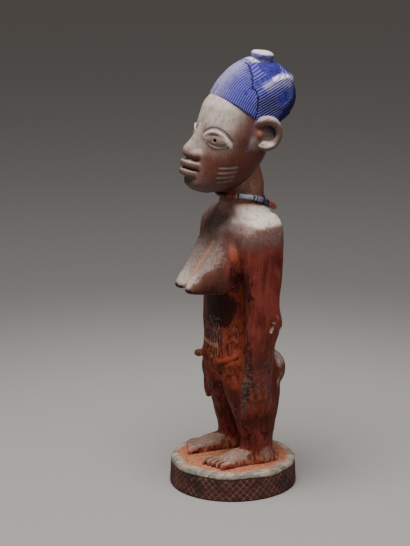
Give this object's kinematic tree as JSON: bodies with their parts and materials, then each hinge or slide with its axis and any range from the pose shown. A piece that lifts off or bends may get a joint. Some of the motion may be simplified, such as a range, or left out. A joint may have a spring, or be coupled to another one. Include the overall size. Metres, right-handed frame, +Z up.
{
  "type": "ibeji figure",
  "caption": "Carved wooden ibeji twin figure: a standing woman with tall combed hair, in one piece with its round base, wearing a string of glass beads. It stands on its flat underside.",
  "frame": {"origin": "centre of the base's flat underside", "axes": "+Z up, the figure looks along -Y and its left side is +X"},
  "size_m": [0.0818, 0.0829, 0.2796],
  "materials": {
    "carved_wood": "dark red-brown carved hardwood with a worn, handled patina, red camwood powder in the hollows and blue pigment on the hair",
    "thread": "dark twisted cotton thread",
    "dark_red_glass": "opaque dark red glass, softly worn",
    "coral_glass": "opaque coral-red glass, softly worn",
    "white_glass": "opaque white glass, softly worn",
    "pale_blue_glass": "opaque pale blue-white glass, softly worn",
    "lavender_glass": "opaque lavender glass, softly worn",
    "dark_blue_glass": "opaque dark blue glass, softly worn",
    "brown_glass": "opaque red-brown glass, softly worn"
  },
  "bodies": {
    "root": {"figure": "carved_wood", "necklace_thread": "thread", "bead_01": "dark_red_glass", "bead_02": "dark_red_glass", "bead_03": "dark_red_glass", "bead_04": "dark_red_glass", "bead_05": "dark_red_glass", "bead_06": "coral_glass", "bead_07": "coral_glass", "bead_08": "coral_glass", "bead_09": "white_glass", "bead_10": "pale_blue_glass", "bead_11": "white_glass", "bead_12": "lavender_glass", "bead_13": "dark_blue_glass", "bead_14": "coral_glass", "bead_15": "coral_glass", "bead_16": "coral_glass", "bead_17": "brown_glass", "bead_18": "brown_glass", "bead_19": "dark_blue_glass", "bead_20": "white_glass", "bead_21": "pale_blue_glass", "bead_22": "white_glass", "bead_23": "coral_glass", "bead_24": "coral_glass", "bead_25": "coral_glass", "bead_26": "lavender_glass", "bead_27": "brown_glass", "bead_28": "brown_glass", "bead_29": "dark_blue_glass", "bead_30": "dark_red_glass", "bead_31": "dark_red_glass", "bead_32": "dark_red_glass", "bead_33": "dark_red_glass", "bead_34": "dark_red_glass"}
  },
  "joints": []
}
